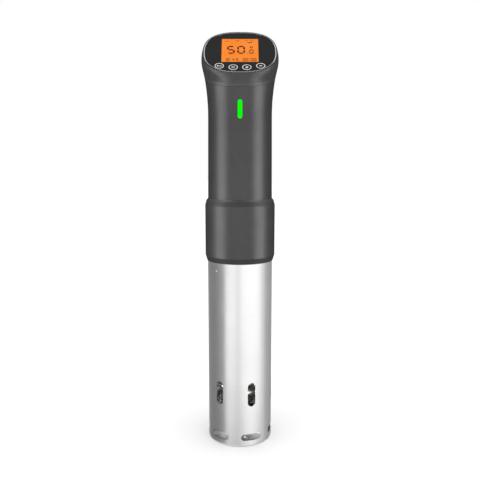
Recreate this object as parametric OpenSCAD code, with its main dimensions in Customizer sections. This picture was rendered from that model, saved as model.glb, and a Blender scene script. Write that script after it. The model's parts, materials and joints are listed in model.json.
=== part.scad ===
// Immersion (sous vide) circulator: a stick-shaped heater and pump that hangs on the wall of a pot.
// Millimetres. Origin: centre of the flat base. +Z up, the display looks towards -Y, the clip is at +Y.

/* [Sleeve] */
// Outer radius of the stainless sleeve
sleeve_r = 30; // [28:0.5:32]
// Sheet thickness of the sleeve
sleeve_wall = 0.8; // [0.6:0.1:1.2]
// Height of the sleeve's upper rim
sleeve_top = 175; // [170:1:178]
// Angle of the first slot, from the front towards +X
slot_phase = 21; // [0:1:59]
// Number of slots in each row
slot_count = 6; // [4:1:6]
// Width of an upright intake slot
slot_w = 7.5; // [5:0.5:9]
// Lower end of the upright slots
slot_z0 = 39; // [36:1:44]
// Upper end of the upright slots
slot_z1 = 61.5; // [56:0.5:70]
// Lower edge of the outlet slots at the foot
vent_z0 = 5.9; // [5:0.1:7]
// Height of an outlet slot
vent_h = 6.3; // [5:0.1:7]
// Width of an outlet slot, straight across
vent_w = 19.5; // [14:0.5:22]

/* [Grip] */
// Outer radius of the collar
collar_r = 32.2; // [31.5:0.1:34]
// Outer radius of the grip just above the collar
grip_r = 29.45; // [28.5:0.05:29.6]
// Outer radius of the grip at its waist
waist_r = 28.9; // [28:0.1:29.4]
// Height of the waist, where the flare starts
waist_z = 304; // [300:1:308]
// Radius of the flare's arc
flare_r = 190; // [150:5:260]
// Wall thickness of the grip
grip_wall = 2.3; // [2:0.1:2.8]

/* [Head] */
// Tilt of the control panel from horizontal
panel_tilt = 48.4; // [40:0.2:52]
// Half width of the head at the panel
head_a = 32.3; // [31:0.1:34]
// Half length of the head along the panel's slope
head_b = 27.2; // [25:0.1:29]
// Roundness power of the panel's outline
panel_power = 2.55; // [2.2:0.05:3.2]
// Width of the display window
lcd_w = 31.8; // [28:0.2:36]
// Height of the display window along the slope
lcd_h = 30.4; // [26:0.2:32]
// Outer radius of a touch-key ring
key_r = 4.1; // [3.5:0.1:4.3]

/* [Wet end] */
// Radius of the drive shaft
shaft_r = 3; // [2.5:0.1:3.5]
// Mean radius of the heater coil
coil_r = 19; // [17:0.5:20]
// Radius of the heater's tube
heater_r = 3.2; // [2.5:0.1:3.5]
// Number of turns in the heater coil
coil_turns = 9; // [6:1:9]
// Outer radius of the impeller
impeller_r = 18; // [14:0.5:22]

/* [Clip] */
// Width of the clip's arm
arm_w = 19.4; // [16:0.2:22]
// Distance of the clip's pin behind the axis
pin_y = 42; // [41:0.5:44]
// Height of the clip's pin
pin_z = 206; // [202:1:208]

/* [Hidden] */
$fn = 96;
eps = 0.01;
run = 0.05;                       // radial running clearance of a shaft or a pin
sleeve_in = sleeve_r - sleeve_wall;
spigot_r = sleeve_in - 0.3;       // the sleeve slides over the spigot
deck_z = 150;
deck_t = 4;
flange_z = sleeve_top + 0.3;
grip_z0 = flange_z + 6;
collar_z0 = 172.4;
collar_z1 = 229.7;
foot_h = 5;                       // the collar's lower edge is bevelled inwards over this height
foot_in = 1.6;
shoulder_h = 5.8;                 // its upper edge leans in, then turns in sharply over the last lip_h
shoulder_in = 1.2;
lip_h = 1.5;
screw_heights = [186, 219.5];     // of the two screws that hold the clip's bracket
boss_heights = [238, 313];        // of the two screws that hold the power board
dimple_z = 165;
dimple_angles = [45, 135, 225, 315];
rod_angles = [-9, 111, 231];
rod_ring = 24.8;                  // the rods and level probes stand on this radius
level_angles = [51, 171];
seam_z = 336;                     // height of the head's seam above the axis
seam_slope = 0.322;               // rise of the seam per unit of +Y
panel_c = [0, -16.6, 357.5];      // centre of the panel's face
edge_lean = 0.36;                 // how far the skin leans in where it meets the panel's edge
cap_wall = 2;
rim_gap = 0.7;                    // head's own edge outside the bright rim
rim_w = 1;
key_places = [[-17.6, -18.2], [-5.8, -20], [5.8, -20], [17.6, -18.2]];
key_oval = 0.87;                  // height of a key's ring as a share of its width
lcd_v = 2.1;                      // display centre above the panel's centre, along the slope
led_z = 308;
led_w = 3.8;
led_h = 16;
board_y = 8;
motor_z = 173;
motor_h = 36;
motor_r = 17.5;
motor_shaft_r = 2.5;
impeller_z = 15;
plate_z = 30;
coil_z0 = 43;
coil_pitch = 9.2;
return_r = 11;                    // the heater's return leg rises inside the coil
pin_r = 2;
arm_clear = 0.3;
gland_z = 296;

// ---- helpers -------------------------------------------------------------------------------------

// Direction in the plan view, a degrees from the front (-Y) towards +X
function heading(a) = [sin(a), -cos(a), 0];
function unit(v) = v / norm(v);

// Outer radius of the grip at height z: a slight taper, then an arc that flares
function grip_radius(z) = z < waist_z
    ? grip_r + (waist_r - grip_r) * max(0, z - collar_z1) / (waist_z - collar_z1)
    : waist_r + flare_r - sqrt(flare_r * flare_r - (z - waist_z) * (z - waist_z));

// Stands its children at distance r from the axis, on heading a, with local -Y pointing outwards
module at_heading(a, r = 0) { rotate([0, 0, a]) translate([0, -r, 0]) children(); }

// Puts its children in the panel's frame: X across, Y up the slope, Z out of the face
module on_panel() { translate(panel_c) rotate([panel_tilt, 0, 0]) children(); }

module ring(r_out, r_in, h) {
    difference() {
        cylinder(r = r_out, h = h);
        translate([0, 0, -1]) cylinder(r = r_in, h = h + 2);
    }
}

// Flat-ended bar with round ends: w wide in X, l long in Z, d deep in Y, centred
module obround(w, l, d) {
    rotate([90, 0, 0]) linear_extrude(d, center = true) {
        square([w, l - w], center = true);
        for (s = [-1, 1]) translate([0, s * (l - w) / 2]) circle(d = w);
    }
}

// Rounded outline of the panel, shrunk all round by inset
module panel_outline(inset = 0) {
    polygon([for (i = [0:5:355]) panel_point(i, inset)]);
}
function panel_point(phi, inset) = [
    (head_a - inset) * sign(sin(phi)) * pow(abs(sin(phi)), 2 / panel_power),
    -(head_b - inset) * sign(cos(phi)) * pow(abs(cos(phi)), 2 / panel_power)];

// Pan-head screw: head on top at z = 0, shank down
module screw(head_r, r, length) {
    difference() {
        cylinder(r = head_r, h = head_r * 0.7);
        translate([0, 0, head_r * 0.3]) {
            translate([-head_r * 0.6, -0.4, 0]) cube([head_r * 1.2, 0.8, head_r]);
            translate([-0.4, -head_r * 0.6, 0]) cube([0.8, head_r * 1.2, head_r]);
        }
    }
    translate([0, 0, -length]) cylinder(r = r, h = length + eps);
}

module hex_nut(r, bore, h) {
    difference() {
        cylinder(r = r, h = h, $fn = 6);
        translate([0, 0, -1]) cylinder(r = bore, h = h + 2, $fn = 32);
    }
}

// Solid between consecutive closed rings of points, as one lattice that closes on itself or is capped
module lattice(rings, closed = false) {
    n = len(rings[0]);
    m = len(rings);
    points = [for (r = rings) each r];
    walls = [for (k = [0:(closed ? m - 1 : m - 2)], i = [0:n - 1])
        let (j = (i + 1) % n, k2 = (k + 1) % m) [k * n + i, k * n + j, k2 * n + j, k2 * n + i]];
    caps = closed ? [] : [[for (i = [n - 1:-1:0]) i], [for (i = [0:n - 1]) (m - 1) * n + i]];
    polyhedron(points, concat(walls, caps), convexity = 10);
}

// ---- sleeve --------------------------------------------------------------------------------------

module sleeve() color([0.78, 0.78, 0.78]) {
    lip = 2;
    difference() {
        union() {
            rotate_extrude() {
                translate([sleeve_in, lip]) square([sleeve_wall, sleeve_top - lip]);
                translate([sleeve_r - lip, lip]) intersection() {
                    difference() {
                        circle(r = lip);
                        circle(r = lip - sleeve_wall);
                    }
                    translate([0, -lip]) square(lip);
                }
                translate([sleeve_r - 3.5, 0]) square([3.5 - lip, sleeve_wall]);
            }
            intersection() {
                translate([0, 0, dimple_z - 5]) cylinder(r = sleeve_r - 0.2, h = 10);
                for (a = dimple_angles)
                    at_heading(a, sleeve_r - 0.4) translate([0, 0, dimple_z]) sphere(r = 1.4, $fn = 32);
            }
        }
        for (a = dimple_angles)
            at_heading(a, sleeve_r + 0.3) translate([0, 0, dimple_z]) sphere(r = 1, $fn = 32);
        for (i = [0:slot_count - 1]) {
            a = slot_phase + i * 360 / slot_count;
            at_heading(a, sleeve_r) translate([0, 0, (slot_z0 + slot_z1) / 2])
                obround(slot_w, slot_z1 - slot_z0, 4);
            outlet_slot(a);
        }
    }
}

module outlet_slot(a) {
    at_heading(a, sleeve_r - 2) translate([0, 0, vent_z0 + vent_h / 2])
        rotate([0, 90, 0]) obround(vent_h, vent_w, 8);
}

module end_cap() color([0.72, 0.72, 0.72]) {
    seat_r = sleeve_r - 3.5 - run;
    difference() {
        union() {
            cylinder(r = seat_r, h = 2);
            translate([0, 0, sleeve_wall + run]) cylinder(r = sleeve_in - 1.2, h = 1.2);
        }
        for (a = [0:60:300])
            at_heading(a + slot_phase, 17) rotate([90, 0, 0]) obround(3, 9, 8);
        translate([0, 0, 1.2]) ring(11, 9.5, 2);
    }
}

// ---- grip, collar and head -----------------------------------------------------------------------

module collar() color([0.16, 0.16, 0.165]) {
    difference() {
        rotate_extrude() difference() {
            polygon([[0, collar_z0], [collar_r - foot_in, collar_z0], [collar_r, collar_z0 + foot_h],
                [collar_r, collar_z1 - shoulder_h], [collar_r - shoulder_in, collar_z1 - lip_h],
                [grip_r + 0.3, collar_z1], [0, collar_z1]]);
            translate([0, collar_z0 - 1]) square([sleeve_r + 0.25, sleeve_top - collar_z0 + 1.3]);
            translate([0, collar_z0 - 1]) square([grip_r + 0.05, collar_z1 - collar_z0 + 2]);
        }
        for (z = screw_heights) translate([0, collar_r - 3, z])
            rotate([-90, 0, 0]) cylinder(r = 1.3, h = 6, $fn = 32);
    }
}

module grip() color([0.3, 0.3, 0.305]) {
    inner = flare_r + grip_wall;
    difference() {
        union() {
            difference() {
                rotate_extrude() difference() {
                    polygon([[waist_r - grip_wall - 2, grip_z0], [grip_r, grip_z0], [grip_r, collar_z1],
                        [waist_r, waist_z], [waist_r + 8, waist_z], [waist_r + 8, 352],
                        [waist_r - grip_wall - 2, 352]]);
                    translate([waist_r + flare_r, waist_z]) circle(r = flare_r, $fn = 360);
                    polygon([[0, grip_z0 - 1], [grip_r - grip_wall, grip_z0 - 1],
                        [grip_r - grip_wall, collar_z1], [waist_r - grip_wall, waist_z],
                        [waist_r - grip_wall, 353], [0, 353]]);
                    difference() {
                        translate([0, waist_z]) square([waist_r + 9, 60]);
                        translate([waist_r + flare_r, waist_z]) circle(r = inner, $fn = 360);
                    }
                }
            }
            for (z = boss_heights) translate([0, board_y + 1.6, z]) rotate([-90, 0, 0])
                cylinder(r = 3.4, h = waist_r - board_y - 3, $fn = 48);
        }
        above_seam();
        translate([0, -waist_r, led_z]) obround(led_w + 0.1, led_h + 0.1, 8);
        translate([0, waist_r, gland_z]) rotate([-90, 0, 0]) cylinder(r = 6.05, h = 12, center = true);
        for (z = boss_heights) translate([0, board_y + 1, z]) rotate([-90, 0, 0])
            cylinder(r = 1.25, h = 12, $fn = 32);
    }
}

// Everything above the slanted seam between the grip and the head
module above_seam() {
    translate([0, 0, seam_z]) rotate([atan(seam_slope), 0, 0]) translate([-50, -60, 0]) cube([100, 120, 60]);
}

// Point of the head's skin: phi runs round, t goes from the seam (0) to the panel's edge (1)
function seam_height(phi, tries = 6, z = seam_z) = tries == 0 ? z
    : seam_height(phi, tries - 1, seam_z + seam_slope * grip_radius(z) * heading(phi)[1]);
function seam_point(phi, inset) = let (z = seam_height(phi), r = grip_radius(z) - inset)
    [r * heading(phi)[0], r * heading(phi)[1], seam_z + seam_slope * r * heading(phi)[1]];
function from_panel(p) = panel_c + [p[0], p[1] * cos(panel_tilt) - p[2] * sin(panel_tilt),
    p[1] * sin(panel_tilt) + p[2] * cos(panel_tilt)];
function edge_point(phi, inset, depth) = let (q = panel_point(phi, inset)) from_panel([q[0], q[1], -depth]);
function seam_rise(phi) = let (z = seam_height(phi))
    unit([0, 0, 1] + heading(phi) * (z - waist_z) / flare_r);
function edge_rise(phi) = let (q = unit(panel_point(phi, 0)))
    unit(from_panel([-edge_lean * q[0], -edge_lean * q[1], 1]) - panel_c);
function skin(phi, t, inset, depth) = let (
        p0 = seam_point(phi, inset), p3 = edge_point(phi, inset, depth), reach = norm(p3 - p0) * 0.38,
        p1 = p0 + reach * seam_rise(phi), p2 = p3 - reach * edge_rise(phi), s = 1 - t)
    s * s * s * p0 + 3 * s * s * t * p1 + 3 * s * t * t * p2 + t * t * t * p3;

module head_cap() color([0.28, 0.28, 0.285]) {
    around = [for (phi = [0:6:354]) phi];
    steps = 9;
    edge = 0.5;
    seat = rim_gap + 0.05;
    rings = concat(
        [for (k = [0:steps]) [for (phi = around) skin(phi, k / steps, 0, edge)]],
        [[for (phi = around) edge_point(phi, edge / 2, 0)]],
        [[for (phi = around) edge_point(phi, seat, 0)]],
        [[for (phi = around) edge_point(phi, seat, 2.4)]],
        [[for (phi = around) edge_point(phi, seat + 2.6, 2.4)]],
        [for (k = [steps:-1:0]) [for (phi = around) skin(phi, k / steps, cap_wall + 1.3 * k / steps, 4)]]);
    lattice(rings, closed = true);
}

module panel_rim() color([0.75, 0.75, 0.76]) on_panel()
    translate([0, 0, -2.2]) linear_extrude(2.4) difference() {
        panel_outline(rim_gap + 0.1);
        panel_outline(rim_gap + 0.1 + rim_w);
    }

module front_panel() color([0.12, 0.12, 0.13]) on_panel() difference() {
    translate([0, 0, -2.2]) linear_extrude(2.1) panel_outline(rim_gap + rim_w + 0.15);
    translate([0, lcd_v, -1]) cube([lcd_w + 0.1, lcd_h + 0.1, 4], center = true);
    for (p = key_places) translate([p[0], p[1], -0.5]) key_mark(0.02, 1);
}

module touch_keys() color([0.85, 0.85, 0.86]) on_panel()
    for (p = key_places) translate([p[0], p[1], -0.48]) key_mark(0, 0.43);

// Oval ring with a dot in the middle, grown all round by gap
module key_mark(gap, h) {
    stroke = 0.8;
    linear_extrude(h) {
        difference() {
            oval(key_r + gap);
            oval(key_r - stroke - gap);
        }
        circle(r = 1 + gap, $fn = 32);
    }
}
module oval(half_w) { scale([1, key_oval]) circle(r = half_w); }

module lcd_module() color([1, 0.5, 0.12]) on_panel() {
    translate([0, lcd_v, -1.7]) cube([lcd_w, lcd_h, 3.1], center = true);
    translate([0, lcd_v, -3]) cube([lcd_w + 4, lcd_h + 3, 1.4], center = true);
}

module backlight() color("white") on_panel()
    translate([0, lcd_v, -5]) cube([lcd_w + 2, lcd_h + 2, 2.5], center = true);

module display_board() color([0.05, 0.35, 0.15]) on_panel() {
    translate([0, 0, -7.9]) linear_extrude(1.6) panel_outline(5.5);
    for (p = key_places) translate([p[0], p[1], -6.35]) cylinder(r = 2.1, h = 4, $fn = 32);
    for (x = [-10, 4]) translate([x, -4, -9.2]) cube([7, 7, 1.3]);
}

module buzzer() color([0.1, 0.1, 0.1]) on_panel() translate([0, 13, -13]) ring(6, 1, 5.1);

module status_light() color([0.1, 1, 0.1]) {
    intersection() {
        translate([0, -waist_r, led_z]) obround(led_w, led_h, 8);
        translate([0, 0, led_z - 15]) cylinder(r = waist_r + 0.15, h = 30);
    }
    translate([0, -waist_r + 4.6, led_z]) obround(led_w + 3, led_h + 3, 1.4);
}

module led_board() color([0.05, 0.35, 0.15]) {
    translate([-4.5, -waist_r + 5.9, led_z - 12]) cube([9, 1.2, 24]);
    for (s = [-1, 0, 1]) translate([-1.5, -waist_r + 5.3, led_z + 6 * s - 1.5]) cube([3, 0.6, 3]);
}

// Flat cable between the two boards, seen from the side as (y, z)
module ribbon_cable() color([0.85, 0.85, 0.8]) {
    thick = 0.6;
    low = [board_y - thick - 0.1, 316];
    route = [low, low + [-6, 3], low + [-13, 12], low + [-20, 21.5], low + [-24.3, 28.3]];
    translate([-8, 0, 0]) rotate([90, 0, 90]) linear_extrude(16)
        polygon(concat(route, [for (i = [len(route) - 1:-1:0]) route[i] + [thick, thick]]));
}

// ---- electronics in the grip ---------------------------------------------------------------------

module power_board() color([0.05, 0.35, 0.15]) difference() {
    translate([-23, board_y, 230]) cube([46, 1.6, 88]);
    for (z = boss_heights) translate([0, board_y - 1, z]) rotate([-90, 0, 0])
        cylinder(r = 1.6, h = 4, $fn = 32);
}

module transformer() color([0.85, 0.75, 0.2]) {
    translate([-20, board_y - 17, 274]) cube([20, 17, 22]);
    translate([-17, board_y - 19, 271]) cube([14, 2, 28]);
}

module capacitors() color([0.1, 0.1, 0.35])
    for (p = [[14, 290, 6.5, 20], [15, 270, 5, 14], [-15, 258, 4, 12]])
        translate([p[0], board_y, p[1]]) rotate([90, 0, 0]) cylinder(r = p[2], h = p[3], $fn = 48);

module relay() color([0.1, 0.2, 0.6]) translate([3, board_y - 15, 246]) cube([15, 15, 16]);

module heat_sink() color([0.7, 0.7, 0.72]) {
    translate([-21, board_y - 4, 233]) cube([18, 4, 18]);
    for (i = [0:4]) translate([-21 + 4.1 * i, board_y - 16, 233]) cube([1.5, 13, 18]);
}

module board_screws() color("silver")
    for (z = boss_heights) translate([0, board_y, z]) rotate([90, 0, 0]) screw(2.6, 1.2, 11);

module cord_gland() color([0.08, 0.08, 0.08]) difference() {
    union() {
        translate([0, waist_r, gland_z]) rotate([-90, 0, 0]) {
            translate([0, 0, -7]) cylinder(r = 6, h = 10);
            translate([0, 0, 1]) cylinder(r1 = 9, r2 = 6.5, h = 4.6);
        }
        difference() {
            translate([0, waist_r - 3, gland_z]) rotate([-90, 0, 0]) cylinder(r = 9, h = 4 + eps);
            translate([0, 0, gland_z - 12]) cylinder(r = grip_radius(gland_z) + 0.1, h = 24);
        }
    }
    translate([0, waist_r - 8, gland_z]) rotate([-90, 0, 0]) cylinder(r = 3.6, h = 16);
}

module gland_nut() color([0.08, 0.08, 0.08])
    translate([0, waist_r - 4, gland_z]) rotate([90, 0, 0]) hex_nut(8.6, 6.05, 3);

// ---- chassis and drive ---------------------------------------------------------------------------

module chassis() color([0.2, 0.2, 0.2]) difference() {
    union() {
        difference() {
            union() {
                translate([0, 0, deck_z]) cylinder(r = spigot_r, h = flange_z - deck_z);
                translate([0, 0, flange_z]) cylinder(r = grip_r, h = 5.8);
                translate([0, 0, flange_z + 5.8 - eps]) cylinder(r = grip_r - grip_wall - 0.2, h = 24);
            }
            translate([0, 0, deck_z + deck_t]) cylinder(r = spigot_r - 2.3, h = 80);
            translate([0, 0, flange_z + 2]) rotate_extrude()
                translate([grip_r - 0.75, 0]) circle(r = 0.85, $fn = 24);
        }
        translate([0, 0, deck_z + deck_t - eps]) cylinder(r = 9.5, h = 4);
        for (a = [0, 120, 240]) at_heading(a, 22.4) translate([0, 0, deck_z + deck_t - eps])
            cylinder(r = 3.4, h = motor_z - 2 - deck_z - deck_t + eps, $fn = 48);
    }
    translate([0, 0, deck_z - 1]) cylinder(r = shaft_r + 1, h = 20, $fn = 64);
    translate([0, 0, deck_z - 1]) cylinder(r = 7, h = 4.6);
    translate([0, 0, deck_z + 4.4]) cylinder(r = 6, h = 5);
    for (h = heater_legs) translate([h[0], h[1], deck_z - 1]) cylinder(r = heater_r + 0.05, h = 10);
    at_heading(140, 11) translate([0, 0, deck_z - 1]) cylinder(r = 3.5, h = 10, $fn = 48);
    for (a = level_angles) at_heading(a, rod_ring) translate([0, 0, deck_z - 1])
        cylinder(r = 2.5, h = 10, $fn = 48);
    for (a = rod_angles) at_heading(a, rod_ring) translate([0, 0, deck_z - 1])
        cylinder(r = 1.65, h = 4, $fn = 32);
    for (a = [0, 120, 240]) at_heading(a, 22.4) translate([0, 0, motor_z - 14])
        cylinder(r = 1.25, h = 20, $fn = 32);
    for (a = dimple_angles) {
        at_heading(a, spigot_r) translate([-2, -1, deck_z - 1]) cube([4, 2.4, dimple_z - deck_z + 3.5]);
        translate([0, 0, dimple_z - 2]) rotate([0, 0, a - 90]) rotate_extrude(angle = 14)
            translate([spigot_r - 1.4, 0]) square([3, 4.5]);
    }
}

module flange_seal() color([0.05, 0.05, 0.05])
    translate([0, 0, flange_z + 2]) rotate_extrude() translate([grip_r - 0.75, 0]) circle(r = 0.75, $fn = 24);

module motor_plate() color([0.7, 0.7, 0.72]) translate([0, 0, motor_z - 2]) difference() {
    cylinder(r = 26.2, h = 2);
    translate([0, 0, -1]) cylinder(r = 7, h = 4);
    for (a = [0, 120, 240]) at_heading(a, 22.4) translate([0, 0, -1]) cylinder(r = 1.6, h = 4, $fn = 32);
    for (a = [60, 180, 300]) at_heading(a, 23) translate([0, 0, -1]) cylinder(r = 3.5, h = 4, $fn = 48);
}

module plate_screws() color("silver")
    for (a = [0, 120, 240]) at_heading(a, 22.4) translate([0, 0, motor_z]) screw(2.6, 1.2, 10);

module motor_can() color([0.6, 0.6, 0.62]) translate([0, 0, motor_z]) difference() {
    cylinder(r = motor_r, h = motor_h);
    translate([0, 0, 1.5]) cylinder(r = motor_r - 1, h = motor_h - 3);
    translate([0, 0, -1]) cylinder(r = 5.5, h = motor_h + 2);
}

module motor_stator() color([0.75, 0.4, 0.15]) translate([0, 0, motor_z + 7]) {
    difference() {
        cylinder(r = motor_r - 1.05, h = 22);
        translate([0, 0, -1]) cylinder(r = 13.6, h = 24);
    }
    for (a = [0:60:300]) at_heading(a, 0) translate([-1.6, -14.2, 0]) difference() {
        cube([3.2, 4.6, 22]);
        translate([0.6, 1, 2]) cube([2, 3, 4]);
    }
}

module motor_bearings() color([0.8, 0.8, 0.82])
    for (z = [motor_z - 0.5, motor_z + motor_h - 3.5])
        translate([0, 0, z]) ring(5.45, motor_shaft_r + run, 4);

module motor_rotor() color([0.25, 0.25, 0.27]) translate([0, 0, motor_z + 7.5]) ring(9, motor_shaft_r, 21);

module motor_shaft() color([0.85, 0.85, 0.86])
    translate([0, 0, 163.5]) cylinder(r = motor_shaft_r, h = 59, $fn = 64);

module shaft_coupling() color([0.75, 0.75, 0.2]) translate([0, 0, 159]) difference() {
    cylinder(r = 5.5, h = 10);
    translate([0, 0, -1]) cylinder(r = shaft_r, h = 5.5, $fn = 64);
    translate([0, 0, 4.5]) cylinder(r = motor_shaft_r, h = 7, $fn = 64);
    for (z = [2.4, 7.6]) translate([0, 0, z]) rotate([90, 0, 0]) cylinder(r = 1, h = 8, $fn = 24);
}

module drive_shaft() color([0.85, 0.85, 0.86])
    translate([0, 0, 11.6]) cylinder(r = shaft_r, h = 151.9, $fn = 64);

module shaft_seal() color([0.1, 0.1, 0.1])
    translate([0, 0, deck_z + 0.1]) ring(6.98, shaft_r + run, 3.4);

module deck_bearing() color([0.7, 0.55, 0.25])
    translate([0, 0, deck_z + 4.4]) ring(5.98, shaft_r + run, 4);

module impeller() color([0.15, 0.15, 0.16]) translate([0, 0, impeller_z]) {
    difference() {
        union() {
            cylinder(r = 6, h = 12);
            translate([0, 0, 10]) cylinder(r = impeller_r, h = 2);
        }
        translate([0, 0, -1]) cylinder(r = shaft_r, h = 14, $fn = 64);
    }
    linear_extrude(10.2) intersection() {
        difference() {
            circle(r = impeller_r - 0.3);
            circle(r = 5.8);
        }
        for (a = [0:60:300]) rotate(a) translate([11, 6]) difference() {
            circle(r = 13);
            circle(r = 11.4);
            translate([-30, 0]) square([60, 30]);
        }
    }
}

module impeller_nut() color([0.8, 0.8, 0.8])
    translate([0, 0, impeller_z - 3.6]) hex_nut(5.2, shaft_r, 3.5);

module cooling_fan() color([0.2, 0.2, 0.22]) translate([0, 0, motor_z + motor_h + 3]) {
    difference() {
        cylinder(r = 6, h = 8);
        translate([0, 0, -1]) cylinder(r = motor_shaft_r, h = 10, $fn = 64);
    }
    for (a = [0:360 / 7:359]) rotate([0, 0, a]) translate([5.5, 0, 4]) rotate([38, 0, 0])
        translate([0, -0.6, -4]) cube([15, 1.2, 8]);
}

// ---- wet parts under the deck --------------------------------------------------------------------

return_a = 20;                    // heading of the heater's return leg
coil_a = 170;                     // heading at which the coil starts
exit_a = 290;                     // heading of the leg that rises from the coil's end
heater_bend = 7;                  // radius of the heater's two elbows
heater_top = 160;
heater_legs = [return_r * heading(return_a), coil_r * heading(exit_a)];

function arc_angle(length, r) = length / r * 180 / PI;

// Centre line of the heater: down the return leg, out to the coil, up the coil, up to the deck
function heater_path() = let (
        low = coil_z0, bend = heater_bend, step = 18, spiral_a = return_a + arc_angle(bend, return_r),
        coil_end = exit_a - arc_angle(bend, coil_r), sweep_a = (coil_turns - 1) * 360 + coil_end - coil_a,
        steps = ceil(sweep_a / step), coil_z1 = low + coil_pitch * sweep_a / 360)
    concat(
        [for (z = [heater_top, low + bend + 20, low + bend + 4]) return_r * heading(return_a) + [0, 0, z]],
        [for (a = [0:step:90])
            return_r * heading(return_a + arc_angle(bend * (1 - cos(a)), return_r))
                + [0, 0, low + bend - bend * sin(a)]],
        [for (k = [1:8]) let (f = k / 8)
            (return_r + (coil_r - return_r) * (1 - cos(180 * f)) / 2)
                * heading(spiral_a + (coil_a - spiral_a) * f) + [0, 0, low]],
        [for (k = [1:steps]) let (f = k / steps)
            coil_r * heading(coil_a + sweep_a * f) + [0, 0, low + (coil_z1 - low) * f]],
        [for (a = [step:step:90])
            coil_r * heading(coil_end + arc_angle(bend * sin(a), coil_r))
                + [0, 0, coil_z1 + bend * (1 - cos(a))]],
        [for (z = [coil_z1 + bend + 9, heater_top]) coil_r * heading(exit_a) + [0, 0, z]]);

// Round tube of radius r swept along the points p
module sweep(p, r, sides) {
    last = len(p) - 1;
    t = [for (i = [0:last]) unit(p[min(i + 1, last)] - p[max(i - 1, 0)])];
    first = unit(cross(t[0], [1, 0, 0]));
    n = [for (i = 0, v = first; i <= last; i = i + 1,
        v = i <= last ? unit(v - (v * t[i]) * t[i]) : v) v];
    lattice([for (i = [0:last]) let (u = unit(n[i] - (n[i] * t[i]) * t[i]), w = cross(t[i], u))
        [for (k = [0:sides - 1]) let (a = 360 * k / sides) p[i] + r * (cos(a) * u + sin(a) * w)]]);
}

module heater_coil() color([0.55, 0.53, 0.5]) sweep(heater_path(), heater_r, 8);

module heater_nuts() color([0.8, 0.7, 0.4])
    for (h = heater_legs) translate([h[0], h[1], deck_z - 3.1]) hex_nut(5.6, heater_r + 0.1, 3);

module temperature_probe() color([0.8, 0.8, 0.8]) at_heading(140, 11) {
    translate([0, 0, 42]) cylinder(r = 2, h = 118, $fn = 48);
    translate([0, 0, 42]) sphere(r = 2, $fn = 48);
}

module level_probes() color([0.8, 0.8, 0.8])
    for (i = [0, 1]) at_heading(level_angles[i], rod_ring)
        translate([0, 0, 96 + 18 * i]) cylinder(r = 1.2, h = 64 - 18 * i, $fn = 32);

module probe_grommets() color([0.05, 0.05, 0.05]) {
    at_heading(140, 11) translate([0, 0, deck_z - 1]) ring(3.48, 2.02, 5);
    for (a = level_angles) at_heading(a, rod_ring) translate([0, 0, deck_z - 1]) ring(2.48, 1.22, 5);
}

module support_rods() color([0.8, 0.8, 0.8])
    for (a = rod_angles) at_heading(a, rod_ring) translate([0, 0, plate_z - 3])
        cylinder(r = 1.6, h = deck_z + 3 - plate_z + 2.8, $fn = 32);

module rod_nuts() color([0.8, 0.8, 0.8])
    for (a = rod_angles) at_heading(a, rod_ring) translate([0, 0, plate_z - 2.5]) hex_nut(3, 1.6, 2.4);

module pump_plate() color([0.75, 0.75, 0.75])
    translate([0, 0, plate_z]) linear_extrude(2) difference() {
        circle(r = 27.8);
        for (a = rod_angles) rotate(a + 60) intersection() {
            difference() {
                circle(r = 22);
                circle(r = 8);
            }
            polygon([[0, -5], [-40, -5 - 40 * tan(60)], [40, -5 - 40 * tan(60)]]);
        }
        circle(r = 5.5);
        for (a = rod_angles) rotate(a) translate([0, -rod_ring]) circle(r = 1.65, $fn = 32);
    }

module pump_bushing() color([0.7, 0.55, 0.25]) translate([0, 0, plate_z - 1]) difference() {
    union() {
        cylinder(r = 5.48, h = 5);
        translate([0, 0, 3.05]) cylinder(r = 7, h = 1.95);
    }
    translate([0, 0, -1]) cylinder(r = shaft_r + run, h = 8, $fn = 64);
}

// ---- clip for the wall of the pot ----------------------------------------------------------------

module clip_bracket() color([0.13, 0.13, 0.135]) {
    ear_t = 3;
    ear_x = arm_w / 2 + arm_clear;
    difference() {
        union() {
            intersection() {
                translate([0, 0, 181]) ring(collar_r + 3, collar_r + 0.02, 43);
                translate([-ear_x - ear_t, 20, 180]) cube([2 * (ear_x + ear_t), 30, 50]);
            }
            for (s = [-1, 1]) translate([s * (ear_x + ear_t / 2) - ear_t / 2, 0, 0]) difference() {
                union() {
                    translate([0, collar_r - 1.5, pin_z - 12]) cube([ear_t, 5, 24]);
                    rotate([90, 0, 90]) linear_extrude(ear_t) polygon([[collar_r + 1, pin_z - 12],
                        [pin_y, pin_z - 5.5], [pin_y, pin_z + 5.5], [collar_r + 1, pin_z + 12]]);
                    translate([0, pin_y, pin_z]) rotate([0, 90, 0]) cylinder(r = 5.5, h = ear_t);
                }
                translate([-1, 0, pin_z - 20]) cube([ear_t + 2, 30, 40]);
            }
        }
        translate([-30, pin_y, pin_z]) rotate([0, 90, 0]) cylinder(r = pin_r, h = 60, $fn = 64);
        translate([0, 0, 170]) cylinder(r = collar_r + 0.02, h = 70);
        for (z = screw_heights) translate([0, 28, z]) rotate([-90, 0, 0]) cylinder(r = 1.6, h = 10, $fn = 32);
        for (z = screw_heights) translate([0, collar_r + 1.6, z]) rotate([-90, 0, 0])
            cylinder(r = 3, h = 10, $fn = 32);
    }
}

module bracket_screws() color("silver")
    for (z = screw_heights) translate([0, collar_r + 1.6, z]) rotate([-90, 0, 0]) screw(2.8, 1.25, 4.2);

module clip_pin() color([0.8, 0.8, 0.8]) translate([0, pin_y, pin_z]) rotate([0, 90, 0])
    cylinder(r = pin_r, h = arm_w + 10, center = true, $fn = 64);

module pin_clips() color([0.6, 0.6, 0.6])
    for (s = [-1, 1]) translate([s * (arm_w / 2 + 4), pin_y, pin_z]) rotate([0, 90, 0])
        translate([0, 0, -0.4]) ring(3.4, pin_r, 0.8);

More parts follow.
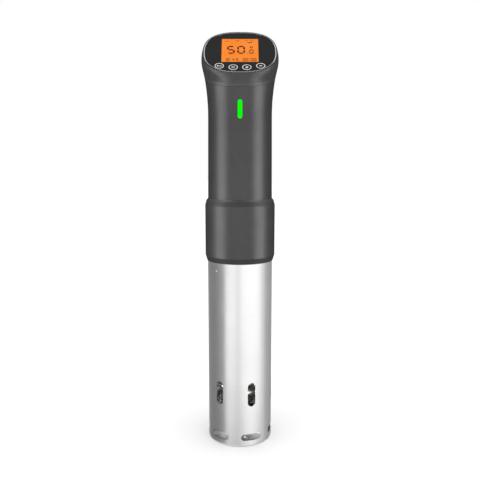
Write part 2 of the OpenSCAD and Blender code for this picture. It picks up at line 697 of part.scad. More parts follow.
// Torsion spring: turns side by side on the pin, one leg against the bracket, one against the arm
module clip_spring() color([0.7, 0.7, 0.72]) {
    pitch = 1.5;
    still = 285;                  // heading of the wire, from +Y towards +Z, as it leaves the bracket
    moving = 101;                 // and as it runs up the arm
    twist = moving + 4 * 360 - still;
    half = twist / 360 * pitch / 2;
    sweep(concat(
        [for (d = [-10, -1]) spring_point(-half, still, d)],
        [for (k = [0:15:twist]) spring_point(-half + pitch * k / 360, still + k, 0)],
        [for (d = [1, 14]) spring_point(half, moving, d)]), 0.65, 8);
}
// Point of the spring's turns where the wire's heading is a, moved along that heading
function spring_point(x, a, along) = [x, pin_y, pin_z]
    + 3.6 * [0, sin(a), -cos(a)] + along * [0, cos(a), sin(a)];

// Arm seen from the side, as a closed outline in (y, z)
module arm_profile() {
    jaw_y = sleeve_r + 3;
    polygon([[pin_y - 1, pin_z - 4.5], [pin_y + 0.5, pin_z - 26], [pin_y, 170], [pin_y - 3.5, 162],
        [jaw_y, 160.5], [jaw_y, 146], [jaw_y + 3, 144], [pin_y - 1, 149], [pin_y + 3, 160],
        [pin_y + 4.5, 176], [pin_y + 6.5, pin_z - 6], [pin_y + 6.8, pin_z + 6], [pin_y + 7, 228],
        [pin_y + 11.5, 256], [pin_y + 10.5, 259], [pin_y + 8, 258], [pin_y + 3, 230],
        [pin_y + 1, pin_z + 4.5]]);
}

module clip_arm() color([0.13, 0.13, 0.135]) difference() {
    union() {
        translate([-arm_w / 2, 0, 0]) rotate([90, 0, 90]) linear_extrude(arm_w) arm_profile();
        translate([0, pin_y, pin_z]) rotate([0, 90, 0])
            cylinder(r = 4.8, h = arm_w, center = true);
        for (i = [0:4]) translate([-arm_w / 2 + 1.5, pin_y + 8.6 + 0.7 * i, 237 + 4 * i])
            rotate([0, 90, 0]) cylinder(r = 1, h = arm_w - 3, $fn = 24);
    }
    translate([-30, pin_y, pin_z]) rotate([0, 90, 0]) cylinder(r = pin_r + run, h = 60, $fn = 64);
    translate([-4.6, pin_y, pin_z]) rotate([0, 90, 0]) cylinder(r = 5, h = 9.2, $fn = 64);
    translate([-4.6, pin_y - 8, pin_z - 5]) cube([9.2, 8, 10]);
    translate([-4.6, pin_y - 8, pin_z]) cube([9.2, 12.6, 13.2]);
}

module clip_pad() color([0.3, 0.3, 0.3]) difference() {
    translate([-8, sleeve_r + 1, 147]) cube([16, 2, 12.5]);
    for (i = [0:3]) translate([-9, sleeve_r + 1, 149.4 + 2.6 * i]) rotate([0, 90, 0])
        cylinder(r = 0.6, h = 18, $fn = 24);
}

// ---- output --------------------------------------------------------------------------------------

sleeve();
end_cap();
collar();
grip();
head_cap();
panel_rim();
front_panel();
touch_keys();
lcd_module();
backlight();
display_board();
buzzer();
status_light();
led_board();
ribbon_cable();
power_board();
transformer();
capacitors();
relay();
heat_sink();
board_screws();
cord_gland();
gland_nut();
chassis();
flange_seal();
motor_plate();
plate_screws();
motor_can();
motor_stator();
motor_bearings();
shaft_seal();
deck_bearing();
heater_coil();
heater_nuts();
temperature_probe();
level_probes();
probe_grommets();
support_rods();
rod_nuts();
pump_plate();
pump_bushing();
motor_rotor();
motor_shaft();
shaft_coupling();
drive_shaft();
impeller();
impeller_nut();
cooling_fan();
clip_bracket();
bracket_screws();
clip_pin();
pin_clips();
clip_spring();
clip_arm();
clip_pad();
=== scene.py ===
"""Looks of the immersion circulator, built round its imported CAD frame.

Metres, in the frame's axes: the display looks towards -Y, the pot clip is at +Y, the foot stands at z = 0.
"""

import json
import math

import bmesh
import bpy
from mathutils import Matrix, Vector

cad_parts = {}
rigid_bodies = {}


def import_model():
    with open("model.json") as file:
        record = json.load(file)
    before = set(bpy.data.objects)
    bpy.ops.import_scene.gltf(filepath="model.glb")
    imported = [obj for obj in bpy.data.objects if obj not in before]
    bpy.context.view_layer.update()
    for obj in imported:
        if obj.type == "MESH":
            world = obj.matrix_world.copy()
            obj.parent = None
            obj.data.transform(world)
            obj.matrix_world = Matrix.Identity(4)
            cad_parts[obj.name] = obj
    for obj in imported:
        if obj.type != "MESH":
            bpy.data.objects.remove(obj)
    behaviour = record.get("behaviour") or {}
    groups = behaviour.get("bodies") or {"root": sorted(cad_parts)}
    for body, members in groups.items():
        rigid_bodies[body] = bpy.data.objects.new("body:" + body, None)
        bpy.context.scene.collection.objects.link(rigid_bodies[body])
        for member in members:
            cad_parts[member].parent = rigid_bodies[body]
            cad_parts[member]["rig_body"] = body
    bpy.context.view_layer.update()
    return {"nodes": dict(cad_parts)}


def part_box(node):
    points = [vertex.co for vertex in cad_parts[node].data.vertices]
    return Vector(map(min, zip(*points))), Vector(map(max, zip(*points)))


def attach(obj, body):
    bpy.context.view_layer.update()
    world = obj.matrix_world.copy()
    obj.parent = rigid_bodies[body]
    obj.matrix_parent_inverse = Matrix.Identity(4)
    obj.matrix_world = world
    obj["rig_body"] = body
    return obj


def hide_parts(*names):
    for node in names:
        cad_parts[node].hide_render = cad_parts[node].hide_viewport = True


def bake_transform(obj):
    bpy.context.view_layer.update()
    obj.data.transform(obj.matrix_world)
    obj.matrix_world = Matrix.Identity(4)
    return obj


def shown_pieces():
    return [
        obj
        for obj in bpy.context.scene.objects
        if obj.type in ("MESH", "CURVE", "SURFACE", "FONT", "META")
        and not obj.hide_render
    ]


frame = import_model()

MM = 0.001

# ---- dimensions, from the frame where it has them ------------------------------------------------

HOUSING, ARM = "housing", "clip_arm"

SLEEVE_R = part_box("sleeve")[1].x
LIP = 2 * MM                   # radius of the sleeve's rounded lower edge
GRIP_R = 29.45 * MM            # just above the collar
WAIST_R = 28.9 * MM            # where the flare starts
WAIST_Z = 304 * MM
FLARE_R = 190 * MM
COLLAR_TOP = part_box("collar")[1].z
SEAM_Z = 336 * MM              # height of the head's slanted seam above the axis
SEAM_SLOPE = 0.322             # rise of the seam per unit of +Y
CAP_WALL = 2 * MM

PANEL_TILT = math.radians(48.4)
PANEL_POWER = 2.55             # roundness of the panel's outline
WINDOW_POWER = 400             # of the display's window, which is square at the corners
WINDOW_GAP = 0.05 * MM         # between the window and the display on every side
OUTLINE_STEPS = 240            # points in each ring of the head, the rim and the panel
SKIN_REACH = 0.38              # length of the skin's handles as a share of its span
PANEL_INSET = 1.85 * MM        # the glossy panel's edge, in from the head's edge
PANEL_THICK = 2.1 * MM
PANEL_DROP = 0.1 * MM          # the panel's face lies this far under the head's edge
HEAD_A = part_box("front_panel")[1].x + PANEL_INSET
HEAD_B = 27.2 * MM
EDGE_LEAN = 0.36               # how far the skin leans in where it meets the panel's edge
FACE_NORMAL = Vector((0, -math.sin(PANEL_TILT), math.cos(PANEL_TILT)))
UP_SLOPE = Vector((0, math.cos(PANEL_TILT), math.sin(PANEL_TILT)))
PANEL_C = sum(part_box("front_panel"), Vector()) / 2 + FACE_NORMAL * (PANEL_THICK / 2 + PANEL_DROP)

LCD_HALF_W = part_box("lcd_module")[1].x - 2 * MM   # the module's flange is 2 mm wider each side
LCD_HALF_H = 15.2 * MM
LCD_V = 2.1 * MM               # display centre above the panel's centre
KEY_R = 4.1 * MM
KEY_OVAL = 0.87                # height of a key's ring as a share of its width
KEY_PLACES = [(-17.6 * MM, -18.2 * MM), (-5.8 * MM, -20 * MM), (5.8 * MM, -20 * MM), (17.6 * MM, -18.2 * MM)]

PIN = sum(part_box("clip_pin"), Vector()) / 2


# ---- mesh helpers --------------------------------------------------------------------------------

def link(name, mesh, body, slot, nodes, sharp):
    """Puts a mesh in the scene as a piece that rides on a body and stands for CAD nodes."""
    mesh.materials.append(bpy.data.materials[slot])
    mesh.polygons.foreach_set("use_smooth", [True] * len(mesh.polygons))
    mesh.set_sharp_from_angle(angle=math.radians(sharp))
    obj = bpy.data.objects.new(name, mesh)
    bpy.context.scene.collection.objects.link(obj)
    if nodes:
        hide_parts(*nodes)
    if body:
        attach(obj, body)
    return obj


def from_bmesh(name, bm, body, slot, nodes=(), sharp=35):
    bmesh.ops.recalc_face_normals(bm, faces=bm.faces)
    mesh = bpy.data.meshes.new(name)
    bm.to_mesh(mesh)
    bm.free()
    return link(name, mesh, body, slot, nodes, sharp)


def lattice(bm, rings, closed):
    """Adds the skin over consecutive rings of points: it closes on itself, or both ends are capped."""
    grid = [[bm.verts.new(p) for p in ring] for ring in rings]
    count = len(grid[0])
    pairs = list(zip(grid, grid[1:] + grid[:1])) if closed else list(zip(grid, grid[1:]))
    for low, high in pairs:
        for i in range(count):
            j = (i + 1) % count
            bm.faces.new((low[i], low[j], high[j], high[i]))
    if not closed:
        bm.faces.new(reversed(grid[0]))
        bm.faces.new(grid[-1])


def tube(bm, points, radius, sides):
    """Adds a round tube along points, capped at both ends, its rings carried along without twist."""
    last = len(points) - 1
    normal = None
    rings = []
    for i, p in enumerate(points):
        along = (points[min(i + 1, last)] - points[max(i - 1, 0)]).normalized()
        if normal is None:
            normal = along.orthogonal().normalized()
        normal = (normal - along * normal.dot(along)).normalized()
        other = along.cross(normal)
        rings.append([
            p + radius * (math.cos(a) * normal + math.sin(a) * other)
            for a in (math.tau * k / sides for k in range(sides))
        ])
    lattice(bm, rings, closed=False)


def refined(node, width, sharp=32, segments=2, keep=-1.0):
    """A copy of a CAD node with its sharp edges rounded off, which stands for the node.

    Flat patches are merged first, but not across edges that reach below the height keep.
    """
    source = frame["nodes"][node]
    bm = bmesh.new()
    bm.from_mesh(source.data)
    bmesh.ops.remove_doubles(bm, verts=bm.verts, dist=1e-6)
    flat = [e for e in bm.edges if min(v.co.z for v in e.verts) > keep]
    corners = bm.verts if keep < 0 else []
    bmesh.ops.dissolve_limit(bm, angle_limit=math.radians(0.4), verts=corners, edges=flat)
    slot = source.data.materials[0].name
    obj = from_bmesh(f"{node}_finished", bm, source["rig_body"], slot, (node,), sharp)
    bevel = obj.modifiers.new("edges", "BEVEL")
    bevel.width = width
    bevel.segments = segments
    bevel.limit_method = "ANGLE"
    bevel.angle_limit = math.radians(sharp)
    bevel.harden_normals = True
    return obj


def true_round(obj, radius, lip):
    """Applies the modifiers, then gives a round wall and the round lip at its foot their exact normals."""
    slack = 0.045 * MM             # how far a corner may lie off the true surface
    mesh = bpy.data.meshes.new_from_object(obj.evaluated_get(bpy.context.evaluated_depsgraph_get()))
    obj.modifiers.clear()
    obj.data = mesh
    normals = [corner.vector.copy() for corner in mesh.corner_normals]
    for face in mesh.polygons:
        outward = []
        for i in face.loop_indices:
            co = mesh.vertices[mesh.loops[i].vertex_index].co
            middle = Vector((*(co.xy.normalized() * (radius - lip)), max(co.z, lip)))
            outward.append(co - middle)
        if all(abs(v.length - lip) < slack for v in outward):
            for i, v in zip(face.loop_indices, outward):
                normals[i] = v.normalized()
    mesh.normals_split_custom_set(normals)


# ---- materials -----------------------------------------------------------------------------------

class Finish:
    """The shader of one material slot of the record, rebuilt from nodes."""

    def __init__(self, slot, **values):
        self.tree = bpy.data.materials[slot].node_tree
        self.tree.nodes.clear()
        self.shader = self.add("BsdfPrincipled")
        for name, value in values.items():
            self.shader.inputs[name.replace("_", " ")].default_value = value
        output = self.add("OutputMaterial")
        self.tree.links.new(self.shader.outputs["BSDF"], output.inputs["Surface"])
        self.bumps = []

    def add(self, kind):
        return self.tree.nodes.new("ShaderNode" + kind)

    def join(self, source, target):
        self.tree.links.new(source, target)

    def place(self, stretch=(1, 1, 1)):
        """Object coordinates in metres, stretched along each axis."""
        mapping = self.add("Mapping")
        mapping.inputs["Scale"].default_value = stretch
        self.join(self.add("TexCoord").outputs["Object"], mapping.inputs["Vector"])
        return mapping.outputs["Vector"]

    def noise(self, scale, detail=3, stretch=(1, 1, 1)):
        texture = self.add("TexNoise")
        texture.inputs["Scale"].default_value = scale
        texture.inputs["Detail"].default_value = detail
        self.join(self.place(stretch), texture.inputs["Vector"])
        return texture.outputs["Fac"]

    def cells(self, scale, feature="F1", stretch=(1, 1, 1)):
        texture = self.add("TexVoronoi")
        texture.feature = feature
        texture.inputs["Scale"].default_value = scale
        self.join(self.place(stretch), texture.inputs["Vector"])
        return texture.outputs["Distance"]

    def waves(self, scale, axis):
        texture = self.add("TexWave")
        texture.bands_direction = axis
        texture.inputs["Scale"].default_value = scale
        self.join(self.place(), texture.inputs["Vector"])
        return texture.outputs["Fac"]

    def spread(self, fac, low, high, start=0.3, end=0.7):
        """fac between start and end as a number from low to high."""
        node = self.add("MapRange")
        for name, value in zip(("From Min", "From Max", "To Min", "To Max"), (start, end, low, high)):
            node.inputs[name].default_value = value
        self.join(fac, node.inputs["Value"])
        return node.outputs["Result"]

    def colour(self, fac, low, high, start=0.3, end=0.7, socket="Base Color"):
        """fac between start and end as a colour from low to high, on a socket of the shader."""
        ramp = self.add("ValToRGB")
        ramp.color_ramp.elements[0].position = start
        ramp.color_ramp.elements[1].position = end
        ramp.color_ramp.elements[0].color = (*low, 1)
        ramp.color_ramp.elements[1].color = (*high, 1)
        self.join(fac, ramp.inputs["Fac"])
        self.join(ramp.outputs["Color"], self.shader.inputs[socket])
        return self

    def rough(self, fac, low, high, start=0.3, end=0.7):
        self.join(self.spread(fac, low, high, start, end), self.shader.inputs["Roughness"])
        return self

    def bump(self, height, depth, strength=1.0):
        """Adds relief of a real depth in metres, on top of any relief already there."""
        node = self.add("Bump")
        node.inputs["Strength"].default_value = strength
        node.inputs["Distance"].default_value = depth
        self.join(height, node.inputs["Height"])
        if self.bumps:
            self.join(self.bumps[-1].outputs["Normal"], node.inputs["Normal"])
        self.join(node.outputs["Normal"], self.shader.inputs["Normal"])
        self.bumps.append(node)
        return self


def grey(value, warmth=0.0):
    return (value * (1 + warmth), value, value * (1 - warmth))


def brushed_steel(slot, tone, roughness, stretch, anisotropy):
    """Fine parallel scratches, long where stretch is small and close together where it is large."""
    f = Finish(slot, Metallic=1.0, Anisotropic=anisotropy)
    scratches = f.noise(1, 4, stretch)
    f.colour(scratches, grey(tone * 0.93), grey(tone))
    f.rough(f.noise(40, 3), roughness * 0.88, roughness * 1.12)
    f.bump(scratches, 0.004 * MM, 0.5)
    tangent = f.add("Tangent")
    tangent.direction_type = "RADIAL"
    tangent.axis = "Z"
    f.join(tangent.outputs["Tangent"], f.shader.inputs["Tangent"])
    return f


def satin_plastic(slot, tone, roughness, grain=0.012, tint=0.0):
    """Spark-eroded moulding: a fine even grain, and polish that varies slightly."""
    f = Finish(slot, IOR=1.49)
    f.colour(f.noise(90, 4), grey(tone * 0.93, tint), grey(tone * 1.07, tint))
    f.rough(f.noise(35, 3), roughness * 0.93, roughness * 1.07)
    f.bump(f.noise(2600, 2), grain * MM, 0.5)
    return f


def bare_metal(slot, low, high, roughness):
    """Plain turned or drawn metal: slight stains, uneven polish and a faint grain."""
    f = Finish(slot, Metallic=1.0)
    f.colour(f.noise(100, 4), low, high)
    f.rough(f.noise(200, 3), roughness * 0.75, roughness * 1.3)
    f.bump(f.noise(600, 4), 0.006 * MM, 0.4)
    return f


def rubber(slot, tone, roughness):
    f = Finish(slot, IOR=1.5)
    f.colour(f.noise(220, 5), grey(tone * 0.8), grey(tone * 1.2))
    f.rough(f.noise(90, 3), roughness * 0.9, roughness * 1.1)
    f.bump(f.noise(1500, 3), 0.03 * MM, 0.6)
    return f


def make_finishes():
    brushed_steel("sleeve_steel", 0.84, 0.32, (28, 28, 5200), 0.0)
    brushed_steel("cap_steel", 0.8, 0.5, (900, 900, 900), 0.0)
    for slot, tone in (("collar_plastic", 0.052), ("grip_plastic", 0.056), ("head_plastic", 0.056)):
        satin_plastic(slot, tone, 0.4)
    satin_plastic("clip_plastic", 0.03, 0.45, 0.02)
    satin_plastic("black_plastic", 0.02, 0.38, 0.015)
    satin_plastic("white_plastic", 0.7, 0.4, 0.01, 0.01)
    chassis = satin_plastic("chassis_plastic", 0.035, 0.5, 0.03)
    chassis.bump(chassis.cells(700), 0.02 * MM, 0.4)

    bare_metal("rim_metal", grey(0.66), grey(0.74), 0.28)
    bare_metal("bright_steel", grey(0.6), grey(0.72), 0.24)
    bare_metal("spring_steel", grey(0.45), grey(0.58), 0.3)
    bare_metal("aluminium_parts", grey(0.58), grey(0.68), 0.42)
    bare_metal("bronze", (0.5, 0.3, 0.12), (0.62, 0.4, 0.18), 0.36)
    bare_metal("magnet", grey(0.05), grey(0.09), 0.5)
    heater = bare_metal("heater_steel", (0.62, 0.59, 0.55), (0.82, 0.8, 0.77), 0.34)
    heater.bump(heater.noise(60, 2), 0.05 * MM, 0.3)

    panel = Finish("panel_gloss", IOR=1.45, Coat_Weight=0.25, Coat_Roughness=0.06)
    panel.colour(panel.noise(60, 4), grey(0.04), grey(0.046))
    panel.rough(panel.noise(45, 4), 0.16, 0.26)
    panel.bump(panel.noise(500, 2), 0.004 * MM, 0.3)

    # Painted glow: the printed key marks emit light of their own, though they are no lamp.
    glowing_key_print = Finish("key_print", Roughness=0.5, Emission_Strength=0.4)
    glowing_key_print.colour(glowing_key_print.noise(900, 3), grey(0.8), grey(0.9))
    glowing_key_print.colour(glowing_key_print.noise(400, 2), grey(0.85), grey(1.0), socket="Emission Color")
    glowing_key_print.bump(glowing_key_print.noise(3000, 2), 0.01 * MM, 0.4)

    display = Finish("lcd_amber", Emission_Strength=0.94, Roughness=0.2, Coat_Weight=0.5)
    display.colour(display.noise(400, 3), (0.12, 0.03, 0.003), (0.16, 0.04, 0.004))
    display.colour(display.noise(70, 3), (1.0, 0.235, 0.021), (1.0, 0.285, 0.034), socket="Emission Color")
    display.bump(display.noise(900, 2), 0.003 * MM, 0.3)

    light = Finish("green_light", Emission_Strength=1.0, Roughness=0.5, IOR=1.12)
    light.colour(light.noise(300, 3), (0.0, 0.1, 0.0), (0.0, 0.14, 0.0))
    light.colour(light.noise(150, 2), (0.0, 0.94, 0.0), (0.0, 1.0, 0.0), socket="Emission Color")
    light.bump(light.noise(1200, 2), 0.008 * MM, 0.4)

    blue = Finish("blue_plastic", IOR=1.48)
    blue.colour(blue.noise(120, 4), (0.01, 0.03, 0.14), (0.02, 0.05, 0.2))
    blue.rough(blue.noise(60, 3), 0.3, 0.4)
    blue.bump(blue.noise(1800, 2), 0.01 * MM, 0.4)

    board = Finish("circuit_board", IOR=1.5)
    tracks = board.cells(320, "DISTANCE_TO_EDGE", (1, 0.2, 1.6))
    board.colour(tracks, (0.02, 0.16, 0.05), (0.006, 0.07, 0.022), 0.04, 0.1)
    board.rough(board.noise(150, 3), 0.25, 0.4)
    board.bump(tracks, 0.03 * MM, 0.5)

    # Painted shade: the copper is coloured darker where the waves are low, in the grooves between turns that
    # the bump sinks.
    winding_with_painted_shade = Finish("copper_parts", Metallic=1.0)
    turns = winding_with_painted_shade.waves(900, "Z")
    winding_with_painted_shade.colour(turns, (0.3, 0.1, 0.03), (0.75, 0.33, 0.14), 0.1, 0.8)
    winding_with_painted_shade.rough(winding_with_painted_shade.noise(200, 3), 0.25, 0.4)
    winding_with_painted_shade.bump(turns, 0.12 * MM, 0.8)

    rubber("black_rubber", 0.012, 0.6)
    rubber("pad_rubber", 0.04, 0.7)


# ---- grip and head -------------------------------------------------------------------------------

def heading(phi):
    """Direction in the plan view, phi radians from the front towards +X."""
    return Vector((math.sin(phi), -math.cos(phi), 0))


def around(count):
    return [math.tau * i / count for i in range(count)]


def grip_radius(z):
    if z < WAIST_Z:
        return GRIP_R + (WAIST_R - GRIP_R) * max(0.0, z - COLLAR_TOP) / (WAIST_Z - COLLAR_TOP)
    return WAIST_R + FLARE_R - math.sqrt(FLARE_R ** 2 - (z - WAIST_Z) ** 2)


def seam_height(phi):
    z = SEAM_Z
    for _ in range(6):
        z = SEAM_Z + SEAM_SLOPE * grip_radius(z) * heading(phi).y
    return z


def seam_point(phi, inset):
    r = (grip_radius(seam_height(phi)) - inset) * heading(phi)
    return Vector((r.x, r.y, SEAM_Z + SEAM_SLOPE * r.y))


def signed_power(value, exponent):
    return math.copysign(abs(value) ** exponent, value)


def on_panel(u, v, w):
    """A point by its place across the panel, up its slope, and out of its face."""
    return PANEL_C + Vector((u, 0, 0)) + UP_SLOPE * v + FACE_NORMAL * w


def outline(phi, half_u, half_v, power):
    return (
        half_u * signed_power(math.sin(phi), 2 / power),
        -half_v * signed_power(math.cos(phi), 2 / power),
    )


def edge_point(phi, inset, depth):
    return on_panel(*outline(phi, HEAD_A - inset, HEAD_B - inset, PANEL_POWER), -depth)


def head_skin(phi, t, inset, depth):
    """Cubic curve from the seam (t = 0), where it carries on the flare, up to the panel's edge (t = 1)."""
    start, end = seam_point(phi, inset), edge_point(phi, inset, depth)
    rise = (Vector((0, 0, 1)) + heading(phi) * ((seam_height(phi) - WAIST_Z) / FLARE_R)).normalized()
    q = Vector((*outline(phi, HEAD_A, HEAD_B, PANEL_POWER), 0)).normalized()
    top = (on_panel(-EDGE_LEAN * q.x, -EDGE_LEAN * q.y, 1) - PANEL_C).normalized()
    reach = SKIN_REACH * (end - start).length
    s = 1 - t
    return (
        s ** 3 * start
        + 3 * s * s * t * (start + reach * rise)
        + 3 * s * t * t * (end - reach * top)
        + t ** 3 * end
    )


def build_head():
    steps, edge, seat = 30, 0.5 * MM, 0.75 * MM
    phis = around(OUTLINE_STEPS)
    groove = 0.2 * MM
    rings = [[head_skin(phi, 0, groove, edge) for phi in phis]]
    rings += [[head_skin(phi, 0.02, groove * 0.35, edge) for phi in phis]]
    rings += [[head_skin(phi, k / steps, 0, edge) for phi in phis] for k in range(1, steps + 1)]
    for k in range(1, 5):
        a = math.pi / 2 * k / 4
        rings.append([edge_point(phi, edge * (1 - math.cos(a)), edge * (1 - math.sin(a))) for phi in phis])
    rings.append([edge_point(phi, seat, 0) for phi in phis])
    rings.append([edge_point(phi, seat, 2.4 * MM) for phi in phis])
    rings.append([edge_point(phi, seat + 2.6 * MM, 2.4 * MM) for phi in phis])
    inner = CAP_WALL + 1.3 * MM
    rings += [
        [head_skin(phi, k / steps, CAP_WALL + (inner - CAP_WALL) * k / steps, 4 * MM) for phi in phis]
        for k in range(steps, -1, -3)
    ]
    bm = bmesh.new()
    lattice(bm, rings, closed=True)
    from_bmesh("head_shell", bm, HOUSING, "head_plastic", ("head_cap",), sharp=38)


def build_panel():
    phis = around(OUTLINE_STEPS)
    rim_in, rim_out, round_r = 1.8 * MM, 0.8 * MM, 0.5 * MM
    middle = (rim_in + rim_out) / 2
    rings = [[edge_point(phi, rim_out, 2.2 * MM) for phi in phis]]
    for k in range(9):
        a = math.pi * k / 8
        inset = middle - round_r * math.cos(a)
        rings.append([edge_point(phi, inset, 0.3 * MM - round_r * math.sin(a)) for phi in phis])
    rings.append([edge_point(phi, rim_in, 2.2 * MM) for phi in phis])
    bm = bmesh.new()
    lattice(bm, rings, closed=True)
    from_bmesh("bezel_rim", bm, HOUSING, "rim_metal", ("panel_rim",))

    edge, foot = 0.15 * MM, PANEL_DROP + PANEL_THICK
    window = [outline(phi, LCD_HALF_W + WINDOW_GAP, LCD_HALF_H + WINDOW_GAP, WINDOW_POWER) for phi in phis]
    rings = [
        [edge_point(phi, PANEL_INSET, foot) for phi in phis],
        [edge_point(phi, PANEL_INSET, PANEL_DROP + edge) for phi in phis],
        [edge_point(phi, PANEL_INSET + edge, PANEL_DROP) for phi in phis],
        [on_panel(u, v + LCD_V, -PANEL_DROP) for u, v in window],
        [on_panel(u, v + LCD_V, -foot) for u, v in window],
    ]
    bm = bmesh.new()
    lattice(bm, rings, closed=True)
    from_bmesh("touch_panel", bm, HOUSING, "panel_gloss", ("front_panel",))


def prism(bm, points, low, high):
    """Adds a flat prism on the panel: its outline in (u, v), from height low to high."""
    lattice(bm, [[on_panel(u, v, w) for u, v in points] for w in (low, high)], closed=False)


def loop(bm, centre, r_out, r_in, low, high, count=48, oval=1.0):
    rings = [
        [
            on_panel(centre[0] + r * math.sin(phi), centre[1] + oval * r * math.cos(phi), w)
            for phi in around(count)
        ]
        for r, w in ((r_out, low), (r_out, high), (r_in, high), (r_in, low))
    ]
    lattice(bm, rings, closed=True)


def bar(bm, start, end, stroke, low, high):
    """Adds a straight stroke with pointed ends."""
    a, b = Vector(start), Vector(end)
    along = (b - a).normalized() * stroke / 2
    side = Vector((-along.y, along.x))
    points = [a, a + along + side, b - along + side, b, b - along - side, a + along - side]
    prism(bm, points, low, high)


STROKES = {  # end points of each seven-segment stroke, in halves of the digit's size
    "a": ((-1, 1), (1, 1)), "b": ((1, 1), (1, 0)), "c": ((1, 0), (1, -1)), "d": ((-1, -1), (1, -1)),
    "e": ((-1, 0), (-1, -1)), "f": ((-1, 1), (-1, 0)), "g": ((-1, 0), (1, 0)),
}
LIT = {"0": "abcdef", "1": "bc", "4": "bcfg", "5": "acdfg"}


def digit(bm, character, u, v, width, height, stroke, low, high):
    """Adds a seven-segment digit centred at (u, v)."""
    half_u, half_v = (width - stroke) / 2, (height - stroke) / 2
    for name in LIT[character]:
        (u0, v0), (u1, v1) = STROKES[name]
        gap = 0.06
        a = Vector((u + u0 * half_u, v + v0 * half_v))
        b = Vector((u + u1 * half_u, v + v1 * half_v))
        bar(bm, a.lerp(b, gap), b.lerp(a, gap), stroke, low, high)


def build_display():
    """The lit segments: a temperature, a timer, and a row of plain marks. All of it is generic."""
    low, high = -0.17 * MM, -0.12 * MM
    bm = bmesh.new()

    def put(character, u, v, width, height, stroke):
        digit(bm, character, u * MM, LCD_V + v * MM, width * MM, height * MM, stroke * MM, low, high)

    def dash(u0, v0, u1, v1, stroke):
        bar(bm, (u0 * MM, LCD_V + v0 * MM), (u1 * MM, LCD_V + v1 * MM), stroke * MM, low, high)

    put("5", -7.9, 0.5, 6.8, 10.4, 1.55)
    put("0", 1.0, 0.5, 6.8, 10.4, 1.55)
    put("0", 9.9, -1.9, 3.8, 5.6, 0.95)
    dash(6.0, -4.1, 6.9, -4.1, 0.8)
    loop(bm, (9.9 * MM, LCD_V + 3.9 * MM), 1.3 * MM, 0.7 * MM, low, high, 24)
    for character, u in zip("10450000", (-12.6, -10, -5.9, -2.4, 3.5, 6.1, 10.3, 12.9)):
        put(character, u, -12.4, 2.3, 4.1, 0.66)
    for u in (-7.9, 8.2):
        for v in (-11.6, -13.2):
            dash(u - 0.3, v, u + 0.3, v, 0.55)
    for u in (-12.8, -11.6, -10.4):
        dash(u - 0.5, 12.2, u + 0.5, 12.2, 0.7)
    dash(-3.8, 13.2, -2.3, 12.0, 0.6)
    dash(-2.3, 12.0, -0.8, 13.2, 0.6)
    for u in (5.1, 6.3, 9.2, 10.4, 11.6):
        dash(u - 0.5, 12.8, u + 0.5, 12.8, 0.7)
    dash(6.4, 10.2, 10.8, 10.2, 0.8)
    obj = from_bmesh("display_segments", bm, HOUSING, "lcd_amber")
    ink = bpy.data.materials.new("segment_ink")
    ink.use_nodes = True
    f = Finish("segment_ink", Roughness=0.4)
    f.colour(f.noise(500, 3), (0.01, 0.011, 0.02), (0.016, 0.016, 0.028))
    obj.data.materials[0] = ink


def build_keys():
    """Printed rings with plain marks: run and stop, menu, plus, minus."""
    low, high = -0.3 * MM, -0.05 * MM
    bm = bmesh.new()
    for place in KEY_PLACES:
        loop(bm, place, KEY_R - 0.2 * MM, KEY_R - 0.85 * MM, low, high, 64, KEY_OVAL)

    def stroke(key, u0, v0, u1, v1, width):
        u, v = KEY_PLACES[key]
        bar(bm, (u + u0 * MM, v + v0 * MM), (u + u1 * MM, v + v1 * MM), width * MM, low, high)

    u, v = KEY_PLACES[0]
    prism(bm, [(u + x * MM, v + y * MM) for x, y in ((-1.9, -1.1), (-1.9, 1.1), (-0.1, 0))], low, high)
    for x in (0.6, 1.6):
        stroke(0, x, -1.1, x, 1.1, 0.5)
    for y in (-0.9, 0, 0.9):
        stroke(1, -1.6, y, 1.6, y, 0.26)
    stroke(2, -1.4, 0, 1.4, 0, 0.8)
    stroke(2, 0, 0.3, 0, 1.5, 0.8)
    stroke(2, 0, -0.3, 0, -1.5, 0.8)
    stroke(3, -1.5, 0, 1.5, 0, 0.85)
    from_bmesh("key_marks", bm, HOUSING, "key_print", ("touch_keys",))


# ---- wires and tubes -----------------------------------------------------------------------------

def build_heater():
    """The heater's tube: down the return leg, out to the coil, up the coil, and up to the deck."""
    pitch, turns, low = 9.2 * MM, 9, 43 * MM
    back_r, coil_r, bend, tube_r = 11 * MM, 19 * MM, 7 * MM, 3.2 * MM
    top_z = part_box("heater_coil")[1].z
    back, start, leave = math.radians(20), math.radians(170), math.radians(290)
    first, end = back + bend / back_r, leave - bend / coil_r
    sweep = math.tau * (turns - 1) + end - start
    high = low + pitch * sweep / math.tau

    def at(r, a, z):
        return r * heading(a) + Vector((0, 0, z))

    quarter = [math.pi / 2 * k / 12 for k in range(1, 13)]
    points = [at(back_r, back, z) for z in (top_z, low + bend + 20 * MM, low + bend)]
    points += [
        at(back_r, back + bend / back_r * (1 - math.cos(a)), low + bend * (1 - math.sin(a)))
        for a in quarter
    ]
    for k in range(1, 25):
        r = back_r + (coil_r - back_r) * (1 - math.cos(math.pi * k / 24)) / 2
        points.append(at(r, first + (start - first) * k / 24, low))
    steps = round(sweep / math.radians(6))
    points += [
        at(coil_r, start + sweep * k / steps, low + (high - low) * k / steps)
        for k in range(1, steps + 1)
    ]
    points += [
        at(coil_r, end + bend / coil_r * math.sin(a), high + bend * (1 - math.cos(a)))
        for a in quarter
    ]
    points += [at(coil_r, leave, z) for z in (high + bend + 9 * MM, top_z)]
    bm = bmesh.new()
    tube(bm, points, tube_r, 20)
    from_bmesh("heater_tube", bm, HOUSING, "heater_steel", ("heater_coil",))


